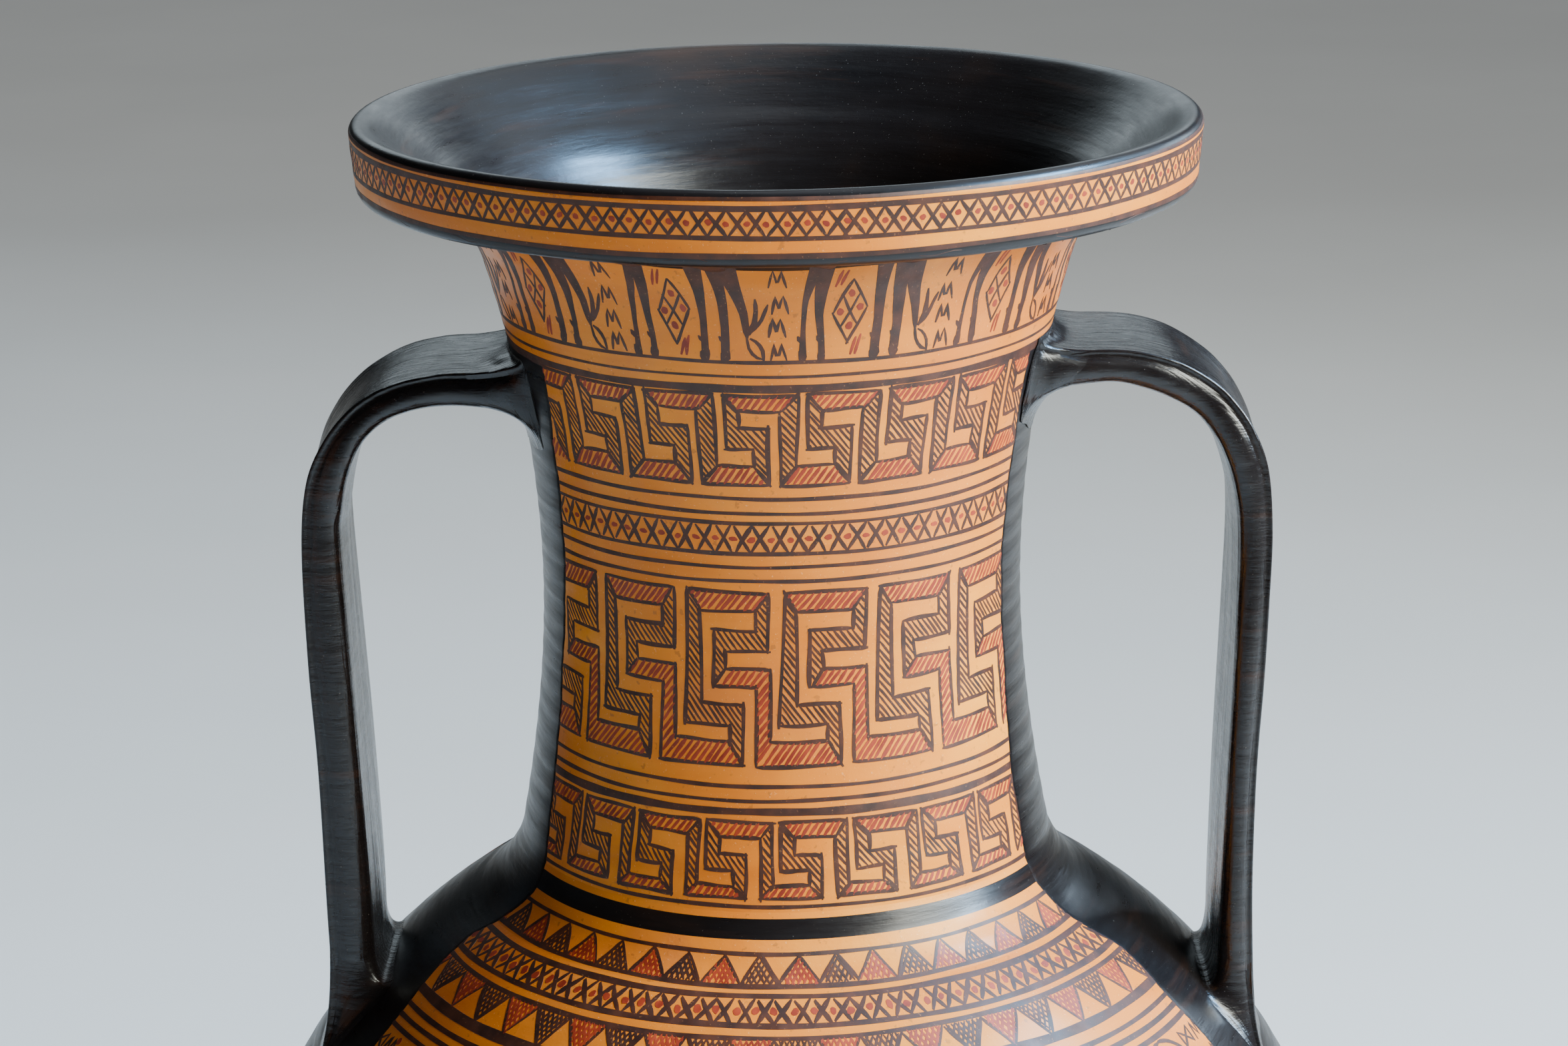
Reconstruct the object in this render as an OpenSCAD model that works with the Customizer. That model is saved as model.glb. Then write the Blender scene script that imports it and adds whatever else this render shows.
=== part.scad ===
// Neck-handled amphora, hand thrown in sections that are luted together.
// Origin: centre of the foot, on the ground. +Z up. The handles stand along X.
// All sizes in millimetres.

/* [Height] */
// Height of the finished vessel
total_h = 545; // [535:1:560]
// Height at which the neck sits on the shoulder
neck_seat_z = 346; // [344:1:347]
// Height of the widest point of the body
belly_z = 251; // [248:1:254]

/* [Body] */
// Greatest radius of the body
belly_r = 143.5; // [138:0.5:150]
// Wall thickness of the body
body_wall = 7; // [6:0.5:9]
// Height of the join between the lower and the middle section
low_join_z = 135; // [110:1:160]
// Height of the join between the middle section and the shoulder
belly_join_z = 262; // [256:1:275]

/* [Neck] */
// Radius of the neck at its waist
waist_r = 61.7; // [60:0.1:64]
// Height of the waist of the neck
waist_z = 422; // [418:1:426]
// Wall thickness of the neck
neck_wall = 7; // [6:0.5:8]
// Height of the join between the neck and the flaring mouth
mouth_join_z = 499; // [495:1:503]

/* [Rim] */
// Outer radius at the top of the rim
rim_r = 107; // [104:0.5:110]
// Height of the upright rim face
rim_h = 18; // [16:0.5:19]
// Radius of the rounded rim edges
rim_round = 2.6; // [1.5:0.1:3]

/* [Foot] */
// Radius of the foot where it stands
foot_r = 50; // [46:1:56]
// Height of the foot ring
foot_h = 14; // [12:0.5:16]

/* [Handles] */
// Width of a handle strap
strap_w = 44; // [38:1:48]
// Thickness of a strap along its middle
strap_t = 10; // [9:0.5:11]
// Thickness of a strap along its two edges
strap_edge_t = 7; // [6:0.5:8]
// Height of the top of the left handle
left_top_z = 483; // [480:1:486]
// Height of the top of the right handle
right_top_z = 489; // [486:1:491]
// Reach of the left handle from the axis
left_reach = 122; // [119:0.5:126]
// Reach of the right handle from the axis
right_reach = 124.8; // [121:0.5:127]

/* [Hidden] */

CLAY = "#c8763c";
SLIP = "#211d1f";

$fn = 96;
STEPS = 18;          // points along each thrown curve
groove = 2.5;        // depth of the V that keys one section into the next
dome_h = 112.5;      // shoulder curve: height from belly to its pole
dome_power = 1.61;
taper_h = 255;       // lower curve: depth from belly to its pole
taper_power = 1.8;
taper_root = 0.62;
floor_t = 10;        // thickness of the floor
mouth_top_z = total_h - rim_h;
mouth_flare = 6;     // extra flare gained over the top of the mouth
flare_start_z = 510;
coil_top_z = 356;    // where the coil round the neck seat dies out upwards
coil_low_z = 340;    // and downwards
strap_edge_w = 5;    // width of the thin margin on each side of a strap
cheek = 4;           // how far the luting stands out round a strap end
root_z = 300;        // the straps run down to here before the shoulder trims them

// ---- curves -------------------------------------------------------------

function dome_r(z, off = 0) =
    (belly_r - off) * sqrt(max(0, 1 - pow(max(0, z - belly_z) / (dome_h - off), dome_power)));

function taper_r(z, off = 0) =
    (belly_r - off) * pow(max(0, 1 - pow(max(0, belly_z - z) / (taper_h - off), taper_power)), taper_root);

function body_r(z, off = 0) = z >= belly_z ? dome_r(z, off) : taper_r(z, off);

// The neck swells gently above and below its waist, then flares at the mouth.
function neck_r(z) = waist_r
    + (z > waist_z ? 9.4 * pow((z - waist_z) / 75, 2) : 3.5 * pow((waist_z - z) / 45, 1.8))
    + mouth_flare * pow(max(0, z - flare_start_z) / (mouth_top_z - flare_start_z), 2.2);

function between(a, b, n = STEPS) = [for (i = [0:n]) a + (b - a) * i / n];

// Quarter ellipse from (0, b) to (a, 0), seen from its centre.
function quarter(cx, cz, a, b, n = 12) =
    [for (i = [0:n]) [cx + a * sin(90 * i / n), cz + b * cos(90 * i / n)]];

function reversed(list) = [for (i = [len(list) - 1:-1:0]) list[i]];

// ---- thrown sections ----------------------------------------------------

// One ring of wall between two heights. Its top rim has a V groove and its
// bottom edge a V ridge, where low_key and top_key are set.
module wall_section(outer, inner, low_key, top_key) {
    o_low = outer[0];
    o_top = outer[len(outer) - 1];
    i_low = inner[0];
    i_top = inner[len(inner) - 1];
    top_v = top_key ? [[(o_top[0] + i_top[0]) / 2, o_top[1] - groove]] : [];
    low_v = low_key ? [[(o_low[0] + i_low[0]) / 2, o_low[1] - groove]] : [];
    rotate_extrude()
        polygon(concat(outer, top_v, reversed(inner), low_v));
}

function body_curve(z0, z1, off = 0) = [for (z = between(z0, z1)) [body_r(z, off), z]];
function neck_curve(z0, z1, off = 0) = [for (z = between(z0, z1)) [neck_r(z) - off, z]];

module foot_ring() {
    inner_top = taper_r(foot_h) - 9;
    color(SLIP)
        rotate_extrude()
            polygon(concat(
                [[foot_r - 10, 0], [foot_r, 0], [foot_r, 3]],
                quarter(foot_r, foot_h, taper_r(foot_h) - foot_r, 4 - foot_h, 8),
                [[inner_top, foot_h]]));
}

module lower_body() {
    outer = body_curve(foot_h, low_join_z);
    inner = body_curve(foot_h + floor_t, low_join_z, body_wall);
    rim = len(outer) - 1;
    key = [(outer[rim][0] + inner[rim][0]) / 2, low_join_z - groove];
    color(CLAY)
        rotate_extrude()
            polygon(concat([[0, foot_h]], outer, [key], reversed(inner), [[0, foot_h + floor_t]]));
}

module middle_body() {
    color(CLAY)
        wall_section(body_curve(low_join_z, belly_join_z),
            body_curve(low_join_z, belly_join_z, body_wall), true, true);
}

module shoulder() {
    color(CLAY)
        wall_section(body_curve(belly_join_z, neck_seat_z),
            concat(body_curve(belly_join_z, neck_seat_z - 4, body_wall),
                [[neck_r(neck_seat_z) - neck_wall, neck_seat_z - 3],
                 [neck_r(neck_seat_z) - neck_wall, neck_seat_z]]), true, false);
}

module neck() {
    color(CLAY)
        wall_section(neck_curve(neck_seat_z, mouth_join_z),
            neck_curve(neck_seat_z, mouth_join_z, neck_wall), false, true);
}

module mouth() {
    color(CLAY)
        wall_section(neck_curve(mouth_join_z, mouth_top_z),
            neck_curve(mouth_join_z, mouth_top_z, neck_wall), true, true);
}

// Heavy upright rim. Its foot is keyed into the mouth, and its inside goes on
// with the slope of the mouth.
module rim() {
    seat_out = neck_r(mouth_top_z);
    seat_in = seat_out - neck_wall;
    low_r = rim_r - 1.2;
    lip_in = rim_r - 2 * rim_round - 0.5;
    color(SLIP)
        rotate_extrude()
            polygon(concat(
                [[seat_in, mouth_top_z], [(seat_in + seat_out) / 2, mouth_top_z - groove],
                 [seat_out, mouth_top_z]],
                [for (a = [-90:15:0]) [low_r - rim_round + rim_round * cos(a),
                    mouth_top_z + rim_round + rim_round * sin(a)]],
                [for (a = [0:15:180]) [rim_r - rim_round + rim_round * cos(a),
                    total_h - rim_round + rim_round * sin(a)]],
                [[lip_in, total_h - 1.6 * rim_round]]));
}

// Everything inside the outer face of the shoulder and the neck, as one solid.
module vessel_core() {
    rotate_extrude()
        polygon(concat([[0, belly_join_z]], body_curve(belly_join_z, neck_seat_z),
            neck_curve(neck_seat_z, mouth_join_z), [[0, mouth_join_z]]));
}

// ---- luting coils -------------------------------------------------------

// Coil of clay smeared over the inside of a join between two body sections.
module inside_coil(z, half_h, swell) {
    wall = [for (h = between(z - half_h, z + half_h, 8)) [body_r(h, body_wall), h]];
    crest = [body_r(z, body_wall) - swell, z];
    color(CLAY)
        rotate_extrude()
            polygon(concat(wall, [crest]));
}

module lower_join_coil() {
    inside_coil(low_join_z, 9, 3);
}

module belly_join_coil() {
    inside_coil(belly_join_z, 9, 3);
}

// Coil worked into the angle between the neck and the shoulder.
module neck_join_coil() {
    top = [neck_r(coil_top_z), coil_top_z];
    low = [dome_r(coil_low_z), coil_low_z];
    bend = [neck_r(neck_seat_z) + 1.4, neck_seat_z];
    hollow = [for (t = between(0, 1, 10))
        (1 - t) * (1 - t) * top + 2 * t * (1 - t) * bend + t * t * low];
    color(SLIP)
        difference() {
            rotate_extrude()
                polygon(concat(hollow, [[low[0] - 12, coil_low_z], [top[0] - 3, coil_top_z]]));
            vessel_core();
        }
}

// ---- handles ------------------------------------------------------------

// Outline of a strap of thickness t in the XZ plane: out from the neck, round
// the bend and down to the shoulder.
function strap_outline(top_z, reach, t) = concat(
    [[waist_r - 12, top_z]],
    quarter(reach - 32, top_z - 47, 32, 47),
    [[reach - 3.4, root_z]],
    [[reach - 3.4 - t, root_z]],
    reversed(quarter(reach - 32, top_z - 47, 32 - t, 47 - t)),
    [[waist_r - 12, top_z - t]]);

module along_y(width) {
    rotate([90, 0, 0])
        translate([0, 0, -width / 2])
            linear_extrude(width)
                children();
}

// A strap is thicker along its middle than along its two edges.
module strap(top_z, reach) {
    along_y(strap_w - 2 * strap_edge_w)
        polygon(strap_outline(top_z, reach, strap_t));
    along_y(strap_w)
        polygon(strap_outline(top_z, reach, strap_edge_t));
}

module handle(top_z, reach) {
    color(SLIP)
        difference() {
            strap(top_z, reach);
            vessel_core();
            neck_join_coil();
        }
}

module left_handle() {
    mirror([1, 0, 0])
        handle(left_top_z, left_reach);
}

module right_handle() {
    handle(right_top_z, right_reach);
}

// Clay packed round a strap end: a wedge all round it, trimmed to the wall.
module luting(outline, top_z, reach) {
    color(SLIP)
        difference() {
            along_y(strap_w + 2 * cheek)
                polygon(outline);
            strap(top_z, reach);
            vessel_core();
            neck_join_coil();
        }
}

module upper_luting(top_z, reach) {
    far_x = neck_r(top_z) + 7;
    luting([[waist_r - 10, top_z + 2], [neck_r(top_z), top_z + 5], [far_x, top_z],
        [far_x, top_z - strap_t], [neck_r(top_z), top_z - strap_t - 7],
        [waist_r - 10, top_z - strap_t - 7]], top_z, reach);
}

module lower_luting(top_z, reach) {
    out_x = reach - 3.4;
    luting([[out_x + 7, root_z], [out_x, root_z + 22], [out_x - strap_t, root_z + 36],
        [out_x - strap_t - 8, root_z + 24], [out_x - strap_t - 8, root_z]], top_z, reach);
}

module left_upper_luting() {
    mirror([1, 0, 0])
        upper_luting(left_top_z, left_reach);
}

module left_lower_luting() {
    mirror([1, 0, 0])
        lower_luting(left_top_z, left_reach);
}

module right_upper_luting() {
    upper_luting(right_top_z, right_reach);
}

module right_lower_luting() {
    lower_luting(right_top_z, right_reach);
}

foot_ring();
lower_body();
lower_join_coil();
middle_body();
belly_join_coil();
shoulder();
neck_join_coil();
neck();
mouth();
rim();
left_handle();
right_handle();
left_upper_luting();
left_lower_luting();
right_upper_luting();
right_lower_luting();
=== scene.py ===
import math

import bpy
import numpy as np
from mathutils import Matrix, Vector


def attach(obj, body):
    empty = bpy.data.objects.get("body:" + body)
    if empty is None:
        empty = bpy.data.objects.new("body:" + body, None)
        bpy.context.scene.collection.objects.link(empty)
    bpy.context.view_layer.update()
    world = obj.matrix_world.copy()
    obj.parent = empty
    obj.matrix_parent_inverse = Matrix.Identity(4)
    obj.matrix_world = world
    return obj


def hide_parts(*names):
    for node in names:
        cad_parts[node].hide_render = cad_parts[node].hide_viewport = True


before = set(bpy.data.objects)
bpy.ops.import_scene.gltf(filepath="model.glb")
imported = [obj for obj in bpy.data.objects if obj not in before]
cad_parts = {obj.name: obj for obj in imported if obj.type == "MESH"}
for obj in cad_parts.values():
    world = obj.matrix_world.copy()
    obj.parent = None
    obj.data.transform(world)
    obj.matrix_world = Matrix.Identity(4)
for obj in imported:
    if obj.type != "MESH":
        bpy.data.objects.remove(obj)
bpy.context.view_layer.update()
rng = np.random.default_rng(437)

MM = 0.001
TAU = 2 * math.pi

# ---- sizes in mm, the same as the driving values of the CAD part ----
NECK_SEAT, BELLY_Z, BELLY_R = 346.0, 251.0, 143.5
LOW_JOIN, BELLY_JOIN, MOUTH_JOIN, MOUTH_TOP = 135.0, 262.0, 499.0, 527.0
WALL, FOOT_R, FOOT_H, FLOOR_T = 7.0, 50.0, 14.0, 10.0
WAIST_R, WAIST_Z = 61.7, 422.0
RIM_R, RIM_TOP, RIM_ROUND, RIM_LEAN = 107.0, 545.0, 2.6, 1.2
COIL_TOP, COIL_LOW = 356.0, 340.0
# The body's outline: its dome closes above the belly and its taper runs to the foot
DOME_REACH, DOME_POWER = 112.5, 1.61
TAPER_REACH, TAPER_POWER, TAPER_ROOT = 255.0, 1.8, 0.62
# The neck's outline: (how far it opens, over what height, power) above and below the
# waist, and once more in the flare under the rim
OPEN_ABOVE, OPEN_BELOW = (9.4, 75.0, 2.0), (3.5, 45.0, 1.8)
FLARE_Z, FLARE = 510.0, (6.0, MOUTH_TOP - 510.0, 2.2)


# ---- the outside of the vessel ----

def body_r(z, off=0.0):
    """Radius of the body's outside at height z, or of the curve off mm inside it."""
    z = np.asarray(z, float)
    up = np.clip(z - BELLY_Z, 0, None) / (DOME_REACH - off)
    down = np.clip(BELLY_Z - z, 0, None) / (TAPER_REACH - off)
    dome = np.sqrt(np.clip(1 - up ** DOME_POWER, 0, None))
    taper = np.clip(1 - down ** TAPER_POWER, 0, None) ** TAPER_ROOT
    return (BELLY_R - off) * np.where(z >= BELLY_Z, dome, taper)


def opening(rise, curve):
    """How far the neck has opened, a height of rise past the place where it begins to."""
    amount, height, power = curve
    return amount * (np.clip(rise, 0, None) / height) ** power


def neck_r(z):
    """Radius of the neck's outside at height z."""
    z = np.asarray(z, float)
    waist = WAIST_R + opening(z - WAIST_Z, OPEN_ABOVE) + opening(WAIST_Z - z, OPEN_BELOW)
    return waist + opening(z - FLARE_Z, FLARE)


def bend(t, a, b, c):
    """The curve from a to c that b pulls towards itself, at 0 <= t <= 1."""
    return (1 - t) ** 2 * a + 2 * t * (1 - t) * b + t ** 2 * c


def coil_curve(n):
    """The hollow coil round the neck seat, from its top to its foot: (r, z)."""
    t = np.linspace(0, 1, n)[:, None]
    top = np.array([neck_r(COIL_TOP), COIL_TOP])
    corner = np.array([neck_r(NECK_SEAT) + 1.4, NECK_SEAT])
    return bend(t, top, corner, np.array([body_r(COIL_LOW), COIL_LOW]))


COIL_UP = coil_curve(60)[::-1]


def rim_face_r(z):
    """The rim's outer face, which leans out a little and has rounded edges."""
    z = np.asarray(z, float)
    low, high = MOUTH_TOP + RIM_ROUND, RIM_TOP - RIM_ROUND
    face = RIM_R - RIM_LEAN + RIM_LEAN * (np.clip(z, low, high) - low) / (high - low)
    d = np.clip(np.maximum(low - z, z - high), 0, RIM_ROUND)
    return face - RIM_ROUND + np.sqrt(RIM_ROUND ** 2 - d ** 2)


def outer_r(z):
    """Radius of the vessel's outside at height z, from the foot to the lip."""
    z = np.asarray(z, float)
    coil = np.interp(z, COIL_UP[:, 1], COIL_UP[:, 0])
    r = np.where(z < COIL_LOW, body_r(z), np.where(z < COIL_TOP, coil, neck_r(z)))
    return np.where(z > MOUTH_TOP, rim_face_r(z), r)


# The unevenness of throwing: (waves round the wall, phase, mm, turn per mm of height)
WAVES = [(int(k), p, a, s) for k, p, a, s in zip(
    rng.integers(2, 7, 6), rng.uniform(0, TAU, 6), rng.uniform(0.05, 0.16, 6),
    rng.uniform(0.008, 0.03, 6))]
RING_PITCH, RING_DEPTH = 6.3, 0.05
TILT = 1.5


def hand_wobble(th, z):
    """How far the hand-thrown wall stands off its ideal curve, in mm."""
    out = 0.0 * (th + z)
    for k, phase, amount, slope in WAVES:
        out = out + amount * np.sin(k * th + phase + slope * z)
    rings = RING_DEPTH * np.sin(z * TAU / RING_PITCH + 1.5 * np.sin(th) + 0.7 * np.sin(z / 17))
    return out + rings


def rim_tilt(th, z):
    """The rim sits a touch higher in front and lower behind."""
    part = np.clip((z - MOUTH_TOP + 6) / 10, 0, 1)
    return TILT * part * np.cos(th)


def on_wall(deg, z, lift):
    """Points on the outer wall, in metres. deg is 0 in front and grows to the right."""
    th = np.radians(deg)
    z = np.asarray(z, float)
    slope = (outer_r(z + 0.2) - outer_r(z - 0.2)) / 0.4
    norm = np.sqrt(1 + slope ** 2)
    r = outer_r(z) + hand_wobble(th, z) + lift / norm
    h = z - lift * slope / norm + rim_tilt(th, z)
    return np.stack([r * np.sin(th), -r * np.cos(th), h], -1) * MM


# ---- mesh helpers ----

WALL_CREASE, LUTING_CREASE, STROKE_CREASE, BAND_CREASE = 40, 45, 35, 60


def make_object(name, verts, faces, mats, ids=None, crease=0):
    """faces is an integer array (n, 4), or a list of such arrays with 3 or 4 columns. ids
    are the faces' materials, and edges sharper than crease degrees stay sharp."""
    verts = np.asarray(verts, np.float32).reshape(-1, 3)
    blocks = faces if isinstance(faces, list) else [faces]
    mesh = bpy.data.meshes.new(name)
    sizes = np.concatenate([np.full(len(b), b.shape[1]) for b in blocks])
    loops = np.concatenate([b.ravel() for b in blocks]).astype(np.int32)
    mesh.vertices.add(len(verts))
    mesh.vertices.foreach_set("co", verts.ravel())
    mesh.loops.add(len(loops))
    mesh.loops.foreach_set("vertex_index", loops)
    mesh.polygons.add(len(sizes))
    starts = np.concatenate([[0], np.cumsum(sizes)[:-1]]).astype(np.int32)
    mesh.polygons.foreach_set("loop_start", starts)
    for m in mats:
        mesh.materials.append(m)
    if ids is not None:
        mesh.polygons.foreach_set("material_index", np.asarray(ids, np.int32))
    mesh.update(calc_edges=True)
    mesh.validate()
    mesh.polygons.foreach_set("use_smooth", np.full(len(mesh.polygons), True))
    if crease:
        mesh.set_sharp_from_angle(angle=math.radians(crease))
    obj = bpy.data.objects.new(name, mesh)
    bpy.context.scene.collection.objects.link(obj)
    return obj


def add_piece(name, verts, faces, mats, slot, *nodes, ids=None, crease=0):
    """Make a piece of the vessel, hang it on the root body and hide the CAD nodes it stands for.
    """
    obj = make_object(name, verts, faces, mats, ids, crease)
    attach(obj, "root")
    if nodes:
        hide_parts(*nodes)


def ring_faces(rows, cols):
    """Quads of a grid of points that closes round both ways."""
    i, j = np.meshgrid(np.arange(rows), np.arange(cols), indexing="ij")
    here, up, on = i * cols, (i + 1) % rows * cols, (j + 1) % cols
    return np.stack([here + j, here + on, up + on, up + j], -1).reshape(-1, 4)


def tube_faces(rows, cols):
    """Quads of an open tube of rings, and the fans that close its ends round two points
    that come after the grid's own."""
    j = np.arange(cols)
    on, end = (j + 1) % cols, (rows - 1) * cols
    first = np.stack([on, j, np.full(cols, rows * cols)], -1)
    last = np.stack([end + j, end + on, np.full(cols, rows * cols + 1)], -1)
    return [ring_faces(rows, cols)[:end], np.vstack([first, last])]


def smooth_line(points, n):
    """A Catmull-Rom curve through the points, at n even steps of point number."""
    p = np.array(points, float)
    p = np.vstack([2 * p[0] - p[1], p, 2 * p[-1] - p[-2]])
    t = np.linspace(0, len(points) - 1 - 1e-9, n)
    i = t.astype(int)
    f = (t - i)[:, None]
    a, b, c, d = p[i], p[i + 1], p[i + 2], p[i + 3]
    return 0.5 * (2 * b + (c - a) * f + (2 * a - 5 * b + 4 * c - d) * f ** 2
                  + (3 * b - a - 3 * c + d) * f ** 3)


def dense(points, step):
    """The same line with a point at least every step mm."""
    out = [np.asarray(points[0], float)]
    for p in points[1:]:
        p = np.asarray(p, float)
        n = max(1, int(math.ceil(np.linalg.norm(p - out[-1]) / step)))
        a = out[-1]
        out += [a + (p - a) * k / n for k in range(1, n + 1)]
    return out


def lathe(name, section, mats, pick, slot, nodes, cols=360, wobble=True):
    """A ring with a closed section [(r, z)...], wobbled like the wall. pick(r, z) says
    which material a face has, from the middle of its edge in the section."""
    sec = np.array(section)
    th = np.arange(cols) * TAU / cols
    r = sec[:, :1] + (hand_wobble(th[None], sec[:, 1:]) if wobble else 0 * th[None])
    h = sec[:, 1:] + rim_tilt(th[None], sec[:, 1:])
    pts = np.stack([r * np.sin(th), -r * np.cos(th), h], -1) * MM
    mid = (sec + np.roll(sec, -1, 0)) / 2
    ids = np.repeat([pick(*m) for m in mid], cols)
    add_piece(name, pts, ring_faces(len(sec), cols), mats, slot, *nodes, ids=ids,
              crease=WALL_CREASE)


# ---- materials ----

def new_material(name):
    mat = bpy.data.materials.new(name)
    mat.use_nodes = True
    nt = mat.node_tree
    return mat, nt, nt.nodes["Principled BSDF"]


def feed(nt, node, values):
    """Gives the inputs that values names a socket to link, a colour or a value."""
    for key, value in values.items():
        socket = node.inputs[key]
        if isinstance(value, bpy.types.NodeSocket):
            nt.links.new(value, socket)
        else:
            colour = isinstance(value, tuple) and socket.type == "RGBA"
            socket.default_value = (*value, 1) if colour else value


def add_node(nt, kind, values):
    node = nt.nodes.new("ShaderNode" + kind)
    feed(nt, node, values)
    return node


def noise(nt, scale, detail, stretch=(1, 1, 1), rough=0.55):
    """A noise in object space, stretched along the axes."""
    where = add_node(nt, "TexCoord", {}).outputs["Object"]
    mapped = add_node(nt, "Mapping", {"Vector": where, "Scale": stretch})
    tex = add_node(nt, "TexNoise", {"Vector": mapped.outputs["Vector"], "Scale": scale,
                                    "Detail": detail, "Roughness": rough})
    return tex.outputs["Fac"]


def ramp(nt, fac, stops):
    """Colours or plain values at the places in stops."""
    node = add_node(nt, "ValToRGB", {"Fac": fac})
    els = node.color_ramp.elements
    while len(els) < len(stops):
        els.new(0.5)
    for el, (pos, col) in zip(els, stops):
        el.position = pos
        el.color = (*col, 1) if isinstance(col, tuple) else (col, col, col, 1)
    return node.outputs["Color"]


def mix(nt, fac, a, b, kind="MIX"):
    """a and b mixed by fac. Each is a socket, a colour or a value."""
    node = nt.nodes.new("ShaderNodeMix")
    node.data_type = "RGBA"
    node.blend_type = kind
    feed(nt, node, {0: fac, 6: a, 7: b})
    return node.outputs[2]


def speckle(nt, col, source, low, high, amount, colour):
    """col with this colour laid over it where the noise rises from low to high."""
    where = ramp(nt, source, [(low, 0.0), (high, 1.0)])
    node = nt.nodes.new("ShaderNodeMath")
    node.operation = "MULTIPLY"
    feed(nt, node, {0: where, 1: amount})
    return mix(nt, node.outputs[0], col, colour)


def to_range(nt, fac, low, high):
    """The middle half of a noise, spread from low to high."""
    node = add_node(nt, "MapRange", {"Value": fac, "From Min": 0.25, "From Max": 0.75,
                                     "To Min": low, "To Max": high})
    return node.outputs["Result"]


def bump(nt, shader, layers):
    """layers: (height, strength, distance in metres), each laid on the one before."""
    normal = {}
    for height, strength, distance in layers:
        node = add_node(nt, "Bump", {"Height": height, "Strength": strength,
                                     "Distance": distance, **normal})
        normal = {"Normal": node.outputs["Normal"]}
    feed(nt, shader, normal)


def clay_material():
    """Burnished clay: cloudy, faintly banded by the wheel, with stains and fine specks."""
    mat, nt, bsdf = new_material("burnished_clay")
    cloud = noise(nt, 14, 5)
    streak = noise(nt, 30, 4, (0.35, 0.35, 5))
    fine = noise(nt, 420, 3)
    grain = noise(nt, 1500, 2)
    base = ramp(nt, cloud, [(0.28, (0.60, 0.155, 0.010)), (0.5, (0.72, 0.215, 0.014)),
                            (0.72, (0.84, 0.305, 0.024))])
    bands = ramp(nt, streak, [(0.3, (0.80, 0.70, 0.62)), (0.6, (1.0, 1.0, 1.0)),
                              (0.8, (1.0, 0.95, 0.86))])
    col = mix(nt, 0.55, base, bands, "MULTIPLY")
    col = speckle(nt, col, noise(nt, 38, 6), 0.56, 0.72, 0.35, (0.52, 0.15, 0.055))
    col = speckle(nt, col, fine, 0.64, 0.70, 0.45, (0.22, 0.075, 0.03))
    col = speckle(nt, col, grain, 0.66, 0.74, 0.35, (0.85, 0.55, 0.30))
    gloss = to_range(nt, noise(nt, 60, 5, (1, 1, 3)), 0.30, 0.52)
    feed(nt, bsdf, {"Base Color": col, "Roughness": gloss,
                    "Specular IOR Level": 0.4, "Specular Tint": (1.0, 0.84, 0.50),
                    "Coat Weight": 0.12, "Coat Roughness": 0.22})
    bump(nt, bsdf, [(streak, 0.25, 0.0006), (fine, 0.22, 0.0003), (grain, 0.15, 0.00012)])
    return mat


def slip_material(name, stretch, streaky, smooth, rough, shine):
    """Glossy black slip, a little brown where it is thin, with pale specks. Its brush
    marks run across the axis that stretch is large on, and streaky is their depth."""
    mat, nt, bsdf = new_material(name)
    streak = noise(nt, 40, 4, (0.4, 0.4, 6))
    slant = noise(nt, 90, 4, (1.2, 1.2, 5), 0.65)
    fine = noise(nt, 110, 3, stretch, 0.6)
    cloud = noise(nt, 22, 5)
    base = ramp(nt, cloud, [(0.3, (0.004, 0.0035, 0.004)), (0.6, (0.008, 0.006, 0.006)),
                            (0.8, (0.018, 0.010, 0.007))])
    col = speckle(nt, base, streak, 0.58, 0.75, 0.35, (0.045, 0.018, 0.009))
    col = speckle(nt, col, noise(nt, 2200, 1), 0.74, 0.80, 0.25, (0.40, 0.38, 0.36))
    gloss = to_range(nt, mix(nt, 0.6, slant, fine), smooth, rough)
    feed(nt, bsdf, {"Base Color": col, "Roughness": gloss,
                    "Specular IOR Level": shine, "Specular Tint": (0.82, 0.91, 1.0),
                    "Coat Weight": 0.05, "Coat Roughness": 0.16})
    bump(nt, bsdf, [(streak, 0.30, 0.0006), (slant, 0.15 + 0.3 * streaky, 0.0004),
                    (fine, streaky, 0.0005), (noise(nt, 700, 2), 0.10, 0.0002)])
    return mat


def brush_material(name, dark, light, rough):
    """Thin slip of a brush stroke, which lets the clay through in places."""
    mat, nt, bsdf = new_material(name)
    col = ramp(nt, noise(nt, 170, 4), [(0.35, dark), (0.68, light)])
    grain = noise(nt, 1300, 2)
    col = speckle(nt, col, grain, 0.66, 0.76, 0.35, (0.45, 0.20, 0.075))
    gloss = to_range(nt, noise(nt, 220, 3), rough - 0.08, rough + 0.12)
    feed(nt, bsdf, {"Base Color": col, "Roughness": gloss})
    bump(nt, bsdf, [(grain, 0.15, 0.00015)])
    return mat


CLAY = clay_material()
SLIP = slip_material("black_slip_gloss", (0.4, 0.4, 6), 0.10, 0.22, 0.42, 0.36)
STRAP = slip_material("black_slip_strap", (0.25, 6, 0.25), 0.80, 0.15, 0.38, 0.48)
LINE = brush_material("line_slip_brush", (0.024, 0.007, 0.004), (0.070, 0.020, 0.009), 0.50)
RED = brush_material("red_slip_brush", (0.19, 0.016, 0.004), (0.35, 0.042, 0.010), 0.50)


# ---- thrown sections ----

RING_WALL, RING_EDGE, RING_FLAT = 10.0, 1.2, 4.0  # the foot ring's wall, bevel and flat side
PLUG_R, PLUG_LAP, PLUG_GAP = 2.0, 0.3, 0.02  # the middle of the floor
COIL_HALF, COIL_CREST = 9.0, 3.0  # the coils inside the joins
NECK_BAND = (349.6, 354.3)  # black slip on the neck's coil
FUNNEL_END = 420.0  # the neck's inside turns into the funnel
RIM_PAINT_LOW, RIM_PAINT_TOP = 529.9, 543.2  # the bare clay of the rim's face

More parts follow.
